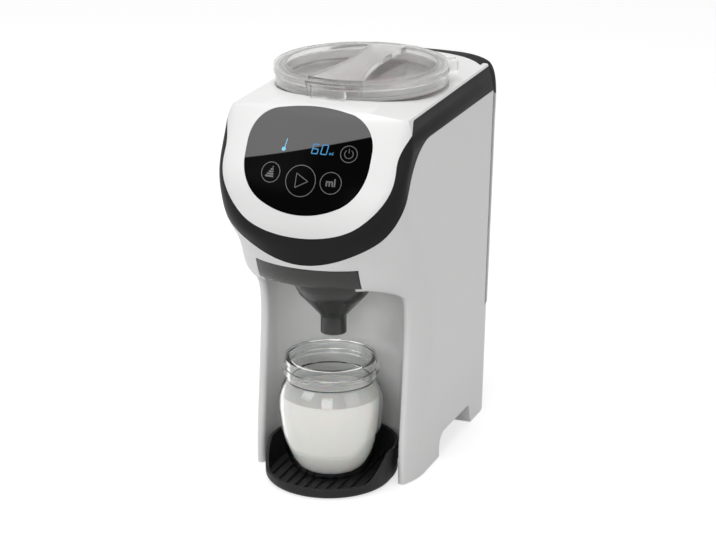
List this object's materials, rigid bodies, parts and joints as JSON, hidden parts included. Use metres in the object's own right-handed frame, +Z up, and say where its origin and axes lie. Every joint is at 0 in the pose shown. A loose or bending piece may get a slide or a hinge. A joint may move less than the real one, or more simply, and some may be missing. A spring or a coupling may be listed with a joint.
{
  "type": "baby formula maker",
  "caption": "Countertop baby formula maker with top powder container, rear water tank, mixing funnel drawer, and a jar on a drip tray in the front bay.",
  "frame": {"origin": "centre of the machine's box on the surface it stands on", "axes": "+Z up, -Y towards the user at the bottle bay, +X to the user's right"},
  "size_m": [0.145, 0.2543, 0.3052],
  "materials": {
    "white_shell": "satin moulded ABS",
    "black_trim": "satin moulded ABS",
    "display_glass": "gloss tinted acrylic",
    "clear_plastic": "clear polycarbonate",
    "smoked_plastic": "smoked polycarbonate",
    "smoked_grey": "smoked polypropylene",
    "rose_plastic": "moulded acetal",
    "grey_plastic": "moulded ABS",
    "gear_plastic": "moulded acetal",
    "rubber": "moulded",
    "silicone": "moulded silicone",
    "steel": "turned",
    "motor_can": "zinc plated",
    "heater_metal": "cast",
    "board": "circuit board",
    "jar_glass": "pressed glass",
    "milk": null
  },
  "bodies": {
    "machine": {"lower_housing": "white_shell", "top_cover": "white_shell", "trim_band": "black_trim", "display_window": "display_glass", "display_board": "board", "container_well": "grey_plastic", "powder_chute": "smoked_grey", "drive_plate": "grey_plastic", "idler_pin": "steel", "gearbox_cover": "grey_plastic", "drive_bush": "steel", "drive_motor": "motor_can", "tank_dock": "grey_plastic", "dock_seal": "silicone", "tank_hose": "silicone", "base_plate": "grey_plastic", "water_pump": "motor_can", "pump_hose": "silicone", "inline_heater": "heater_metal", "thermostat": "grey_plastic", "water_outlet": "grey_plastic", "outlet_hose": "silicone", "main_board": "board", "power_inlet": "black_trim", "rubber_feet": "rubber", "base_screws": "steel"},
    "powder_container": {"powder_container": "clear_plastic", "dial_cover": "clear_plastic"},
    "powder_wheels": {"dial_wheel": "gear_plastic", "stirring_wheel": "rose_plastic"},
    "container_lid": {"container_lid": "clear_plastic", "lid_seal": "silicone"},
    "output_gear": {"output_gear": "gear_plastic"},
    "idler_gear": {"idler_gear": "gear_plastic"},
    "motor_rotor": {"motor_pinion": "steel"},
    "funnel_drawer": {"funnel_drawer": "smoked_grey", "mixing_funnel": "smoked_grey"},
    "bottle_tray": {"bottle_tray": "black_trim"},
    "jar": {"glass_jar": "jar_glass", "formula_milk": "milk"},
    "water_tank": {"water_tank": "smoked_plastic"},
    "tank_lid": {"tank_lid": "black_trim"},
    "tank_valve": {"valve_poppet": "grey_plastic", "valve_spring": "steel"}
  },
  "joints": [
    {"name": "container_lift", "type": "slide", "parent": "machine", "child": "powder_container", "axis": [0, 0, 1], "range_m": [0, 0.08]},
    {"name": "lid_lift", "type": "slide", "parent": "powder_container", "child": "container_lid", "axis": [0, 0, 1], "range_m": [0, 0.04]},
    {"name": "wheel_spin", "type": "hinge", "parent": "powder_container", "child": "powder_wheels", "pos_m": [0, 0, 0.243], "axis": [0, 0, 1], "continuous": true},
    {"name": "gear_spin", "type": "hinge", "parent": "machine", "child": "output_gear", "pos_m": [0, 0, 0.216], "axis": [0, 0, 1], "continuous": true},
    {"name": "idler_spin", "type": "hinge", "parent": "machine", "child": "idler_gear", "pos_m": [0, 0.04875, 0.216], "axis": [0, 0, 1], "continuous": true},
    {"name": "motor_spin", "type": "hinge", "parent": "machine", "child": "motor_rotor", "pos_m": [0.01312, 0.07148, 0.216], "axis": [0, 0, 1], "continuous": true},
    {"name": "drawer_slide", "type": "slide", "parent": "machine", "child": "funnel_drawer", "axis": [0, -1, 0], "range_m": [0, 0.085]},
    {"name": "tray_slide", "type": "slide", "parent": "machine", "child": "bottle_tray", "axis": [0, -1, 0], "range_m": [0, 0.08]},
    {"name": "jar_lift", "type": "slide", "parent": "bottle_tray", "child": "jar", "axis": [0, 0, 1], "range_m": [0, 0.012]},
    {"name": "tank_lift", "type": "slide", "parent": "machine", "child": "water_tank", "axis": [0, 0, 1], "range_m": [0, 0.06]},
    {"name": "tank_lid_lift", "type": "slide", "parent": "water_tank", "child": "tank_lid", "axis": [0, 0, 1], "range_m": [0, 0.04]},
    {"name": "valve_push", "type": "slide", "parent": "water_tank", "child": "tank_valve", "axis": [0, 0, 1], "range_m": [0, 0.003], "stiffness_N_per_m": 300, "springref_m": -0.004, "deforming": ["valve_spring"]}
  ],
  "couplings": [
    {"joint": "wheel_spin", "follows": "gear_spin", "ratio": 1},
    {"joint": "idler_spin", "follows": "gear_spin", "ratio": -1.6},
    {"joint": "motor_spin", "follows": "gear_spin", "ratio": 4}
  ]
}
